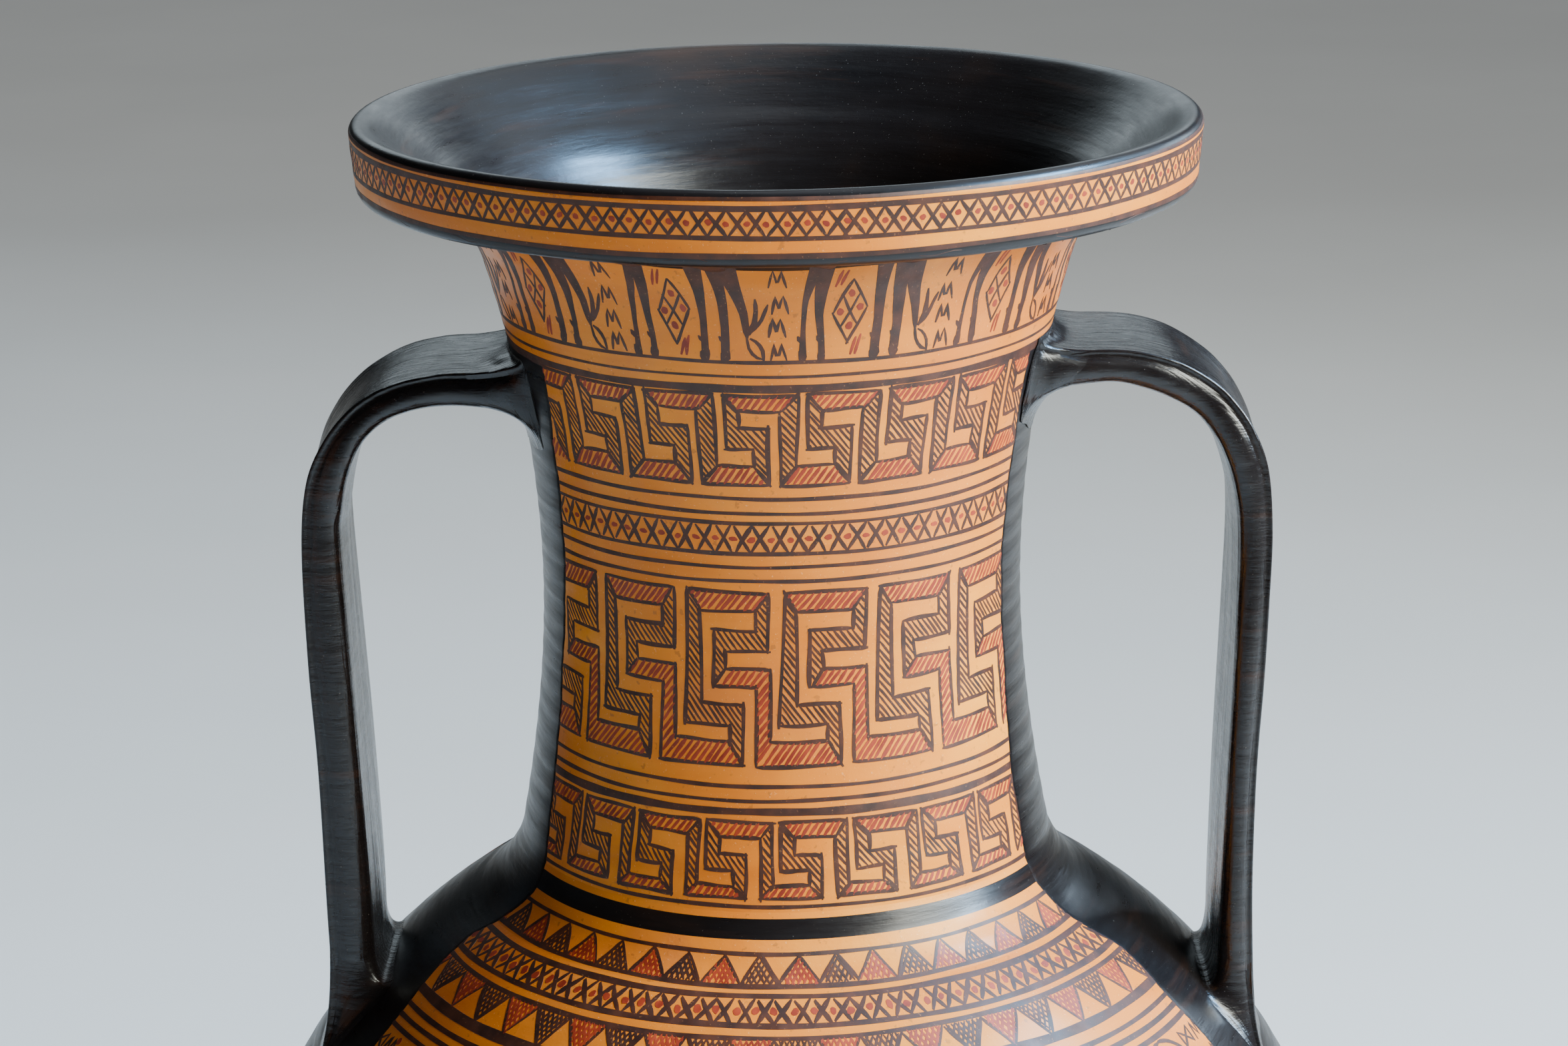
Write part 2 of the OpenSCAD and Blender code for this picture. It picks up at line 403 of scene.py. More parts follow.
# The funnel of the mouth, from the crest of the lip down into the neck: (r, z)
FUNNEL = smooth_line([
    (104.4, 545.0), (101.6, 544.2), (98.2, 541.9), (93.0, 537.6), (87.0, 532.2),
    (81.4, 527.0), (76.2, 520.6), (71.0, 511.8), (66.8, 502.0), (62.9, 490.0),
    (59.5, 476.0), (56.7, 458.0), (55.0, 438.0), (54.7, 420.0), (55.0, 400.0)], 400)


def outer_shell(z):
    """The wall without the coil at the neck seat."""
    z = np.asarray(z, float)
    return np.where(z < NECK_SEAT, body_r(z), neck_r(z))


def body_inside(z):
    return body_r(z, WALL)


def funnel_r(z):
    return np.interp(z, FUNNEL[::-1, 1], FUNNEL[::-1, 0])


def neck_inside(z):
    return np.where(z > FUNNEL_END, funnel_r(z), neck_r(z) - WALL)


def outline(radius, z0, z1, n):
    """n points (radius(z), z) from z0 to z1."""
    z = np.linspace(z0, z1, n)
    return list(np.stack([radius(z), z], 1))


def clay_only(r, z):
    return 0


def inner_black(r, z):
    """Black slip on the inside of the wall, clay outside and in the joins."""
    return 1 if r < outer_shell(z) - 2 else 0


def thrown(name, node, z0, z1, inner, pick=clay_only, mats=(CLAY,)):
    """One thrown section of the wall from z0 up to z1. inner goes down its inside."""
    wall = outline(outer_shell, z0, z1, int((z1 - z0) / 1.6) + 1)
    lathe(name, wall + inner, mats, pick, "terracotta", [node])


def build_foot():
    """A bevelled ring whose outside swells in a quarter round to meet the wall."""
    top, inside = float(body_r(FOOT_H)), FOOT_R - RING_WALL
    sec = dense([(inside, 0), (FOOT_R - RING_EDGE, 0), (FOOT_R, RING_EDGE),
                 (FOOT_R, RING_FLAT)], 1.0)
    sec += [(FOOT_R + (top - FOOT_R) * math.sin(t), FOOT_H + (RING_FLAT - FOOT_H) * math.cos(t))
            for t in np.linspace(0, math.pi / 2, 12)[1:]]
    sec += dense([(top, FOOT_H), (top - 9, FOOT_H), (inside, 1)], 2)[1:]

    def pick(r, z):
        return 1 if z < 0.4 or r < inside + 1 else 0
    lathe("foot_ring_slip", sec, [SLIP, CLAY], pick, "black_slip", ["foot_ring"])


def build_floor_plug():
    """The middle of the vessel's floor, which closes the lower body's ring."""
    low, high, r = FOOT_H + PLUG_GAP, FOOT_H + FLOOR_T - PLUG_GAP, PLUG_R + PLUG_LAP
    lathe("floor_plug_clay", [(PLUG_GAP, low), (r, low), (r, high), (PLUG_GAP, high)], [CLAY],
          clay_only, "terracotta", [], 48, False)


def build_lower_body():
    floor = FOOT_H + FLOOR_T
    inner = outline(body_inside, LOW_JOIN, floor, 50)
    thrown("lower_body_clay", "lower_body", FOOT_H, LOW_JOIN,
           inner + [(PLUG_R, floor), (PLUG_R, FOOT_H), (20.0, FOOT_H)])


def build_middle_body():
    thrown("middle_body_clay", "middle_body", LOW_JOIN, BELLY_JOIN,
           outline(body_inside, BELLY_JOIN, LOW_JOIN, 60))


def build_shoulder():
    seat = float(neck_r(NECK_SEAT)) - WALL
    inner = [(seat, NECK_SEAT), (seat, NECK_SEAT - 3)]
    inner += outline(body_inside, NECK_SEAT - 4, BELLY_JOIN, 50)
    thrown("shoulder_clay", "shoulder", BELLY_JOIN, NECK_SEAT, inner)


def build_neck_and_mouth():
    thrown("neck_clay", "neck", NECK_SEAT, MOUTH_JOIN,
           outline(neck_inside, MOUTH_JOIN, NECK_SEAT, 70), inner_black, [CLAY, SLIP])
    thrown("mouth_clay", "mouth", MOUTH_JOIN, MOUTH_TOP,
           outline(funnel_r, MOUTH_TOP, MOUTH_JOIN, 22), inner_black, [CLAY, SLIP])


def build_rim():
    """The heavy rim: flat underside, upright painted face, and a lip that rolls inwards."""
    low, high = MOUTH_TOP + RIM_ROUND, RIM_TOP - RIM_ROUND
    sec = dense([(float(funnel_r(MOUTH_TOP)), MOUTH_TOP), (float(neck_r(MOUTH_TOP)), MOUTH_TOP),
                 (RIM_R - RIM_LEAN - RIM_ROUND, MOUTH_TOP)], 2.5)
    sec += outline(rim_face_r, MOUTH_TOP, low, 8)[1:]
    sec += outline(rim_face_r, low, high, 22)[1:-1]
    sec += [(RIM_R - RIM_ROUND + RIM_ROUND * math.cos(t), high + RIM_ROUND * math.sin(t))
            for t in np.linspace(0, math.pi / 2, 12)]
    sec += list(FUNNEL[FUNNEL[:, 1] > MOUTH_TOP + 0.3][8::5])

    def pick(r, z):
        return 0 if RIM_PAINT_LOW < z < RIM_PAINT_TOP and r > RIM_R - 2.2 else 1
    lathe("rim_painted", sec, [CLAY, SLIP], pick, "black_slip", ["rim"])


def build_inside_coil(name, node, join):
    """The coil smeared over the inside of the join at this height."""
    z = np.linspace(join - COIL_HALF, join + COIL_HALF, 13)
    crest = COIL_CREST * np.cos((z - join) / COIL_HALF * math.pi / 2) + 0.05
    back = np.stack([body_inside(z) + 0.4, z], 1)
    front = np.stack([body_inside(z) - crest, z], 1)[::-1]
    lathe(name, np.vstack([back, front]), [CLAY], clay_only, "terracotta", [node])


def build_neck_coil():
    """The coil in the angle between neck and shoulder, with its black band."""
    z = np.linspace(COIL_TOP, COIL_LOW, 12)
    back = np.stack([outer_shell(z) - 1.5, z], 1)

    def pick(r, z):
        return 1 if NECK_BAND[0] < z < NECK_BAND[1] else 0
    lathe("neck_coil_painted", np.vstack([coil_curve(40)[::-1], back]), [CLAY, SLIP], pick,
          "black_slip", ["neck_join_coil"])


# ---- handles ----

STRAP_ROWS, STRAP_HALF_W = 220, 22.0
# The lutings: rows from strap to wall, gap to the wall, thickness at the foot, and the clot
LUTING_ROWS, LUTING_CLEAR, LUTING_FILM, CLOT = 22, 0.1, 0.35, 2.6

LEFT_SEED, RIGHT_SEED = 11, 12

# Side outlines of the straps, measured on the photograph: (x, z) from neck to shoulder
LEFT_OUT = [(-61.5, 482.7), (-68, 483), (-82, 483.2), (-88, 482.8), (-95, 481.4),
            (-101.7, 478.5), (-108.5, 473.6), (-115.0, 465.6), (-120, 454.5), (-122, 437),
            (-121.5, 407), (-119.9, 378), (-119, 341), (-118.6, 321), (-119.2, 308), (-120, 300)]
LEFT_IN = [(-61.5, 471.2), (-67, 471.8), (-80, 473.6), (-90, 473.3), (-98.7, 470.3), (-105, 464.4),
           (-108.6, 456), (-110.6, 446), (-111.2, 437), (-109.8, 407), (-108.2, 378),
           (-106.5, 341), (-106.5, 325), (-107.6, 317), (-108.8, 311)]
RIGHT_OUT = [(61.5, 484.6), (72, 486.2), (80, 486.9), (88.8, 486.6), (96, 485.2), (102.2, 482.8),
             (109, 478.4), (114, 473.6), (119.2, 466.0), (123.4, 455), (124.8, 438.7),
             (124.2, 420), (123.1, 399.7), (121.4, 374.6), (120.7, 345.4), (121.2, 323),
             (122, 312), (123, 300)]
RIGHT_IN = [(61.5, 475), (72, 476.4), (83.9, 477.4), (91, 476), (97, 473.8), (103, 470.2),
            (107.3, 465.6), (111.5, 458), (114.6, 447), (115.6, 434), (115.2, 415), (114.4, 396),
            (113.2, 372), (112.2, 345.4), (111.6, 326), (111.8, 317), (112.2, 311)]


def strap_section():
    """Section of a strap, as (across -1..1, depth 0 outside..1 inside), going round. The
    outer face is flat with a sharp lip, the sides bulge and the inner face is ribbed."""
    out = [(y, 0.035 * (1 - y * y)) for y in np.linspace(-0.93, 0.93, 25)]
    corner = [(0.948, 0.015), (0.958, 0.05), (0.952, 0.09)]
    side = [(0.875 + 0.135 * math.cos(a), 0.51 + 0.40 * math.sin(a))
            for a in np.radians([-58, -46, -34, -22, -10, 2, 14, 26, 38, 50, 62, 72])]
    belly = []
    for y in np.linspace(0.86, -0.86, 41):
        groove = 0.007 * math.cos(y * 11.5) * (1 - 0.6 * abs(y))
        belly.append((y, 0.925 + 0.075 * (1 - (y / 0.86) ** 2) - groove))
    half = corner + side
    other = [(-y, d) for y, d in reversed(half)]
    return out + half + belly + other


def strap_points(outer, inner, seed):
    """Grid of points (rows, round, 3) in mm on the surface of a strap handle."""
    r = np.random.default_rng(seed)
    a, b = smooth_line(outer, STRAP_ROWS), smooth_line(inner, STRAP_ROWS)
    sec = np.array(strap_section())
    t = np.linspace(0, 1, STRAP_ROWS)
    width = STRAP_HALF_W + 0.5 * np.sin(9 * t + r.uniform(0, 6)) + 0.25 * np.sin(31 * t)
    shift = 0.5 * np.sin(5 * t + r.uniform(0, 6)) + 0.2 * np.sin(23 * t + 1)
    depth = sec[:, 1][None, :] + 0.02 * np.sin(17 * t[:, None] + 3 * sec[:, 0][None, :])
    y = sec[:, 0][None, :] * width[:, None] + shift[:, None]
    p = a[:, None, :] + (b - a)[:, None, :] * depth[:, :, None]
    return np.stack([p[..., 0], y, p[..., 1]], -1)


def strap_hit_row(grid, top_end, gap):
    """The row of the strap grid that stands gap mm clear of the wall."""
    mid = grid.mean(1)
    r = np.hypot(mid[:, 0], mid[:, 1])
    half = len(grid) // 2
    if top_end:
        clear = r - neck_r(mid[:, 2])
        return int(np.argmax(clear[:half] > gap))
    clear = mid[:, 2] - shoulder_z(r)
    return half + int(np.argmax(clear[half:] < gap))


def shoulder_z(r):
    """Height of the shoulder at a distance r from the axis."""
    z = np.linspace(BELLY_Z, 352, 400)
    return np.interp(r, outer_r(z)[::-1], z[::-1])


def put_on_wall(p, top_end):
    """The points moved sideways on to the neck, or straight down on to the shoulder."""
    p = p.copy()
    if top_end:
        wall = np.sqrt(np.clip(neck_r(p[:, 2]) ** 2 - p[:, 1] ** 2, 1, None))
        p[:, 0] = np.sign(p[:, 0]) * (wall + LUTING_CLEAR)
    else:
        p[:, 2] = shoulder_z(np.hypot(p[:, 0], p[:, 1])) + LUTING_CLEAR
    return p


def luting_grid(grid, top_end, gap, spread, lump, seed):
    """Clay smoothed from the strap on to the wall: a hollow fillet all round its end, with
    thumbed waves in it, a clot on top of the upper one, and a buried inside."""
    r = np.random.default_rng(seed)
    row = grid[strap_hit_row(grid, top_end, gap)]
    mid = row.mean(0)
    away = row - mid
    turn = np.linspace(0, TAU, len(row), endpoint=False)
    noisy = sum(a * np.sin(k * turn + p) for k, a, p in
                zip((2, 3, 5, 9), (0.4, 0.4, 0.3, 0.15), r.uniform(0, TAU, 4)))
    start = mid + away * 0.995
    corner = put_on_wall(start, top_end)
    foot = put_on_wall(row + spread(away) * (1 + 0.15 * noisy)[:, None], top_end)
    t = np.linspace(0, 1, LUTING_ROWS)[:, None]
    waves = sum(a * (1 + np.sin(k * turn[None] + m * t * 6 + p)) for k, m, a, p in
                zip((3, 7, 12), (1.0, 2.0, -1.5), (0.5, 0.3, 0.2), r.uniform(0, TAU, 3)))
    height = lump * np.sin(math.pi * t) ** 1.5 * waves + LUTING_FILM * t ** 2 * (1 - t ** 8)
    if top_end:
        clot = np.exp(-((away[:, 1] + 10) / 5) ** 2) * (away[:, 2] > 0)
        height = height + CLOT * clot[None] * np.exp(-((t - 0.62) / 0.22) ** 2)
    t = t[:, :, None]
    out = away / (np.linalg.norm(away, axis=1)[:, None] + 1e-9)
    body = bend(t, start, corner, foot) + out[None] * height[:, :, None]
    deep = mid[None] + (body[::-7] - mid[None]) * 0.90
    if top_end:
        deep[..., 0] -= 2.0 * np.sign(mid[0])
    else:
        deep[..., 2] -= 2.0
    return np.concatenate([body, deep])


def upper_spread(away):
    """How far the clay runs out on the neck: a little above and beside, far below."""
    low = 0.5 - 0.5 * np.tanh(away[:, 2] / 1.5)
    return np.stack([0 * low, 4.5 * away[:, 1] / STRAP_HALF_W, 4.5 - 15.5 * low], -1)


def lower_spread(away):
    """How far the clay runs out on the shoulder, inside, outside and beside the strap."""
    beside = 4.5 * away[:, 1] / STRAP_HALF_W
    return np.stack([6.0 * np.tanh(away[:, 0] / 2), beside, 0 * beside], -1)


def build_lutings(side, outer, inner, seed):
    grid = strap_points(outer, inner, seed)
    for end, top_end, gap, spread, lump, more in (
            ("_upper_luting", True, 13.0, upper_spread, 0.45, 5),
            ("_lower_luting", False, 17.0, lower_spread, 0.18, 9)):
        pts = luting_grid(grid, top_end, gap, spread, lump, seed + more)
        add_piece(side + end + "_slip", pts * MM, ring_faces(*pts.shape[:2]), [STRAP],
                  "black_slip", side + end, crease=LUTING_CREASE)


def build_handle(side, outer, inner, seed):
    grid = strap_points(outer, inner, seed)
    ends = np.array([grid[0].mean(0), grid[-1].mean(0)])
    add_piece(side + "_handle_slip", np.vstack([grid.reshape(-1, 3), ends]) * MM,
              tube_faces(*grid.shape[:2]), [STRAP], "black_slip", side + "_handle")


# ---- painting ----

# Section of a stroke: (place across it in stroke widths, height over the wall in mm)
PROFILE = np.array([(-0.5, -0.10), (-0.46, 0.05), (0.0, 0.065), (0.46, 0.05), (0.5, -0.10)])
DOT_CORNERS = 10
BAND_LIFT, PANEL_LIFT, EDGE_SINK, BACK_SINK = 0.09, 0.11, -0.1, -0.35
PANEL_LOW, PANEL_TOP = 282.0, 490.0


def panel_edges(z):
    """Half-open angles, left and right of the front, where the black side panels begin."""
    z = np.asarray(z, float)
    left = np.interp(z, [312, 324, 336, 349, 380, 410, 440, 455, 485],
                     [67.7, 69.2, 70.5, 62.5, 65.0, 63.0, 61.0, 59.5, 57.0])
    right = np.interp(z, [312, 323, 332, 341, 350, 485], [68.0, 68.2, 68.5, 65.0, 62.0, 64.6])
    return left, right


def under_panel(deg, z):
    """True well inside a black side panel, where no stroke would show."""
    if not PANEL_LOW < z < PANEL_TOP:
        return False
    left, right = panel_edges(z)
    side = (deg + 180) % 360 - 180
    edge = right if side > 0 else left
    return edge + 2 < abs(side) < 178 - edge


def mm_per_degree(z):
    """Length of one degree round the wall at height z."""
    return math.radians(1) * float(outer_r(z))


def ring_hand(u):
    """How a ring on the turning vase drifts from its line and swells, u of the way round."""
    a, b, c = rng.uniform(0, TAU, 3)
    drift = 0.13 * np.sin(TAU * 3 * u + a) + 0.07 * np.sin(TAU * 11 * u + b)
    return drift, 1 + 0.12 * np.sin(TAU * 5 * u + c) + 0.06 * np.sin(TAU * 23 * u + a)


def free_hand(u, length, sway):
    """How a free stroke drifts from its line and swells, u of the way along it."""
    a, b = rng.uniform(0, TAU, 3)[:2]
    drift = sway * min(1.6, length / 6) * np.sin(u * rng.uniform(2, 5) + a)
    swell = rng.uniform(0.86, 1.14) * (1 + 0.13 * np.sin(u * rng.uniform(3, 9) + b))
    swell[0] *= 0.55
    swell[-1] *= 0.45
    return drift, swell


def crossings(level, along, s):
    """Where a polygon's edges cross the line level = s, in order along that line."""
    cuts = []
    for i in range(len(level)):
        j = (i + 1) % len(level)
        if (level[i] - s) * (level[j] - s) < 0:
            f = (s - level[i]) / (level[j] - level[i])
            cuts.append(along[i] + f * (along[j] - along[i]))
    return sorted(cuts)


class Paint:
    """Brush strokes on the wall, gathered into one piece of low relief."""

    def __init__(self, name, material, slot):
        self.name, self.material, self.slot = name, material, slot
        self.points, self.faces3, self.faces4, self.count = [], [], [], 0

    def add(self, deg, z, lift, quads, tris):
        self.points.append((deg.ravel(), z.ravel(), lift.ravel()))
        for known, new in ((self.faces4, quads), (self.faces3, tris)):
            if len(new):
                known.append(new + self.count)
        self.count += deg.size

    def stroke(self, points, width, closed=False, sway=0.10):
        """A brush line through (deg, z) points. width is one value or one for each point."""
        p = np.array(points, float)
        mid = p.mean(0)
        if not closed and under_panel(mid[0], mid[1]):
            return
        k = mm_per_degree(mid[1])
        q = p * [k, 1]
        run = np.concatenate([[0], np.cumsum(np.linalg.norm(np.diff(q, axis=0), axis=1))])
        length = run[-1]
        if length < 0.3:
            return
        n = 361 if closed else max(4, int(length / 1.7) + 2, len(p))
        t = np.linspace(0, length, n)
        q = np.stack([np.interp(t, run, q[:, 0]), np.interp(t, run, q[:, 1])], 1)
        drift, swell = ring_hand(t / length) if closed else free_hand(t / length, length, sway)
        w = np.interp(t, run, np.broadcast_to(width, len(p))) * swell
        way = np.gradient(q, axis=0)
        way /= np.linalg.norm(way, axis=1)[:, None] + 1e-9
        across = np.stack([-way[:, 1], way[:, 0]], 1)
        q = q + across * drift[:, None]
        sides = PROFILE[:, 0][None] * w[:, None]
        pts = q[:, None] + across[:, None] * sides[:, :, None]
        m = len(PROFILE)
        lift = np.broadcast_to(PROFILE[:, 1], (n, m))
        if closed:
            pts, lift = pts[:-1], lift[:-1]
            quads, tris = ring_faces(n - 1, m), []
        else:
            quads = tube_faces(n, m)[0]
            fan = np.array([[0, i, i + 1] for i in range(1, m - 1)])
            tris = np.vstack([fan, fan[:, [0, 2, 1]] + (n - 1) * m])
        self.add(pts[..., 0] / k, pts[..., 1], lift, quads, tris)

    def ring(self, z, width):
        """A line right round the vase at height z."""
        self.stroke([(-180.0 + i, z) for i in range(361)], width * 1.3, closed=True)

    def dot(self, deg, z, half_w, half_h):
        """A blob of slip, set down with a loaded brush."""
        if under_panel(deg, z):
            return
        n = DOT_CORNERS
        turn = np.arange(n) * TAU / n
        grow = rng.uniform(0.85, 1.15, n)
        lean = rng.uniform(-0.5, 0.5)
        x = half_w * np.cos(turn) * grow
        y = half_h * np.sin(turn) * grow + x * lean * half_h / half_w * 0.5
        scale = np.array([1.0, 0.94])[:, None]
        x = np.concatenate([(x * scale).ravel(), [0.0]])
        y = np.concatenate([(y * scale).ravel(), [0.0]])
        lift = np.concatenate([np.full(n, -0.10), np.full(n, 0.055), [0.065]])
        i = np.arange(n)
        j = (i + 1) % n
        quads = np.stack([i, j, j + n, i + n], 1)
        top = np.stack([i + n, j + n, np.full(n, 2 * n)], 1)
        base = np.array([[0, i + 1, i] for i in range(1, n - 1)])
        self.add(deg + x / mm_per_degree(z), z + y, lift, quads, np.vstack([top, base]))

    def hatch(self, shape, angle, pitch, width, inset=0.30):
        """Parallel strokes at this angle inside a polygon of (deg, z) corners."""
        p = np.array(shape, float)
        k = mm_per_degree(p[:, 1].mean())
        q = p * [k, 1]
        a = math.radians(angle + rng.uniform(-3, 3))
        way, off = np.array([math.cos(a), math.sin(a)]), np.array([-math.sin(a), math.cos(a)])
        level, along = q @ off, q @ way
        s = level.min() + pitch * rng.uniform(0.5, 0.9)
        while s < level.max() - 0.3:
            cuts = crossings(level, along, s)
            for c0, c1 in zip(cuts[::2], cuts[1::2]):
                c0 += inset + rng.uniform(-0.25, 0.15)
                c1 -= inset + rng.uniform(-0.25, 0.15)
                if c1 - c0 > 0.7:
                    ends = [way * c + off * (s + rng.uniform(-0.13, 0.13)) for c in (c0, c1)]
                    self.stroke([(e[0] / k, e[1]) for e in ends], width, sway=0.06)
            s += pitch * rng.uniform(0.86, 1.14)

    def build(self):
        """Make one mesh of all the strokes, lying on the wall."""
        pts = on_wall(*(np.concatenate(part) for part in zip(*self.points)))
        faces = [np.vstack(f) for f in (self.faces4, self.faces3) if f]
        add_piece(self.name, pts, faces, [self.material], self.slot, crease=STROKE_CREASE)


def line_between(paint, a, b, width=1.1, over=0.8):
    """A straight outline stroke from a to b that runs a little past both."""
    k = mm_per_degree((a[1] + b[1]) / 2)
    d = np.array([(b[0] - a[0]) * k, b[1] - a[1]])
    d /= np.linalg.norm(d) + 1e-9
    jit = rng.uniform(-0.22, 0.22, 4)
    go = rng.uniform(0, over, 2)
    start = (a[0] + (jit[0] - d[0] * go[0]) / k, a[1] + jit[1] - d[1] * go[0])
    end = (b[0] + (jit[2] + d[0] * go[1]) / k, b[1] + jit[3] + d[1] * go[1])
    paint.stroke([start, end], width)


def steps(units, start=0.0):
    """The angles at which a pattern's units stand round the wall."""
    return [start + u * 360 / units for u in range(units)]


def meander(ink, red, units, start, bars, wide=1.0, base=0.0, tall=1.0):
    """A meander of hatched bars: (tone, corners (deg, z) in one unit, edges drawn)."""
    for x in steps(units, start):
        for tone, corners, edges in bars:
            shape = [(x + a * wide, base + h * tall) for a, h in corners]
            if tone == "black":
                ink.hatch(shape, -52, 1.22, 0.70)
            else:
                red.hatch(shape, 53, 1.42, 0.98)
            for i in edges:
                line_between(ink, shape[i], shape[(i + 1) % len(shape)])


def small_meander(ink, red, units, start, xs, zs):
    """A running hook meander. xs are the bars' edges across one unit, in degrees from its
    left end, and zs are its levels from the top down."""
    pitch = 360 / units
    b, ii, io, ri, r = xs
    top, top_in, mid_top, mid_low, low_in, low = zs
    meander(ink, red, units, start, [
        ("red", [(0, top), (r, top), (ri, top_in), (b, top_in)], (0, 1, 2, 3)),
        ("black", [(0, top), (b, top_in), (b, mid_top), (io, mid_top), (io, low), (ii, low_in),
                   (ii, mid_low), (0, mid_low)], (1, 2, 3, 4, 5, 6, 7)),
        ("black", [(r, top), (ri, top_in), (ri, low), (r, low_in)], (1, 3)),
        ("red", [(r - pitch, low_in), (ii, low_in), (io, low), (ri - pitch, low)], (0, 2, 3))])


# One unit of the double meander on the neck, 22.5 degrees wide and 44.5 mm high
BIG_WIDE = 22.5
BIG_BARS = [
    ("red", [(0.5, 44.5), (19.3, 44.5), (16.3, 39.5), (3.2, 39.5)], (0, 1, 2, 3)),
    ("black", [(0.5, 44.5), (3.2, 39.5), (3.2, 15.5), (13, 15.5), (13, 0), (10, 6), (10, 10),
               (-0.8, 10)], (1, 2, 3, 4, 5, 6, 7)),
    ("black", [(19.3, 44.5), (19.3, 29), (9, 29), (9.3, 24.5), (6.3, 20), (6.3, 34.5),
               (16.3, 34.5), (16.3, 39.5)], (0, 1, 2, 3, 4, 5, 6)),
    ("red", [(9.3, 24.5), (19.5, 24.5), (19.5, 6), (32.5, 6), (35.5, 0), (16.2, 0),
             (16.2, 20), (6.3, 20)], (0, 1, 2, 4, 5, 6))]


def lozenge_chain(ink, red, units, start, low, high, dot=(1.0, 0.72)):
    """A chain of crosses with a red dot in each gap. start is the angle of one dot."""
    pitch = 360 / units
    for x in steps(units, start):
        x += rng.uniform(-0.25, 0.25)
        for z0, z1 in ((low, high), (high, low)):
            a = (x + pitch * rng.uniform(-0.02, 0.14), z0 + math.copysign(0.3, z1 - z0))
            b = (x + pitch * rng.uniform(0.86, 1.02), z1)
            ink.stroke([a, b], 1.08)
        red.dot(x + rng.uniform(-0.1, 0.1), (low + high) / 2 + rng.uniform(-0.25, 0.25),
                dot[0] * rng.uniform(0.85, 1.2), dot[1] * rng.uniform(0.85, 1.2))


def triangle_row(ink, red, units, start, base, apex):
    """Netted triangles, red and dark by turns. start is the apex of a red one."""
    half = 180 / units
    for u, x in enumerate(steps(units, start)):
        left, right, tip = (x - half, base), (x + half, base), (x, apex)
        line_between(ink, left, tip, 0.85, 0.3)
        line_between(ink, right, tip, 0.85, 0.3)
        for angle in (52, -52):
            (ink if u % 2 else red).hatch([left, right, tip], angle, 1.15, 0.68, 0.1)


def squiggle(ink, x, z, wide, tall):
    """A little M."""
    pts = np.array([(x - wide, z - tall / 2), (x - 0.55 * wide, z + tall / 2),
                    (x - 0.1 * wide, z - tall / 3), (x + 0.35 * wide, z + tall / 2),
                    (x + wide, z - tall / 2)])
    fine = np.empty((9, 2))
    fine[::2], fine[1::2] = pts, (pts[:-1] + pts[1:]) / 2
    ink.stroke(fine, 0.80)


# The strokes of one grazing deer of the frieze, whose head is down to the right: points
# (degrees from where the deer starts, z) and widths in mm
DEER_BELLY = [([(0.6, 525), (5.4, 525.5)], [5.0, 5.0]),
              ([(12.6, 525.5), (20.6, 525.5)], [5.5, 6.0])]
DEER_HIND_LEGS = [
    ([(2.6, 524.5), (1.3, 518), (0.5, 513), (0.2, 506), (0.1, 497.5)], [2.4, 1.6, 1.1, 1.0, 1.5]),
    ([(3.9, 524.5), (3.3, 516), (3.1, 510), (3.6, 503), (3.7, 497.5)], [3.2, 2.4, 1.6, 1.4, 1.8])]
DEER_HOOVES = [(0.1, 1.5), (3.7, 1.5), (14.1, 1.9), (18.1, 1.9)]
DEER_FORE_LEGS = [([(13.8, 524.5), (14.2, 516), (14.4, 508), (14.1, 498.2)], [3.8, 2.7, 1.9, 1.8]),
                  ([(17.0, 524.5), (18.1, 513), (18.4, 506), (18.1, 498.2)], [3.4, 2.4, 1.7, 1.8])]
DEER_NECK_AND_HEAD = [
    ([(19.3, 524.5), (20.4, 517), (21.8, 510), (22.4, 503.8)], [3.6, 2.8, 1.9, 1.1]),
    ([(22.3, 504.4), (22.7, 501), (23.6, 498.8), (25.3, 498.0)], 0.7),
    ([(22.9, 503.8), (24.3, 502.6), (25.1, 500.6), (25.4, 497.4)], 0.7),
    ([(22.7, 504.6), (23.9, 507.5), (24.1, 510.5), (24.0, 514.2)], [1.0, 1.2, 1.0, 0.7]),
    ([(23.1, 505.2), (25.0, 508), (26.3, 512.8)], [0.9, 0.9, 0.6])]
FULL_BRUSH = 1.3


def draw(ink, x, strokes):
    for points, width in strokes:
        ink.stroke([(x + a, z) for a, z in points], FULL_BRUSH * np.array(width))


def lozenge(ink, red, x):
    """The crossed lozenge with four red dots under a deer's belly."""
    corners = [(x + a, z) for a, z in ((8.8, 519), (5.6, 510), (8.6, 501.8), (11.8, 511))]
    for a, b in zip(corners, corners[1:] + corners[:1]):
        line_between(ink, a, b, 0.8, 0.3)
    line_between(ink, (x + 7.2, 514.4), (x + 10.4, 506.2), 0.7, 0.3)
    line_between(ink, (x + 10.4, 515), (x + 7.0, 506.0), 0.7, 0.3)
    for a, z in ((8.8, 515), (6.9, 510.2), (10.6, 511.2), (8.7, 506.4)):
        red.dot(x + a, z, 0.95, 1.05)


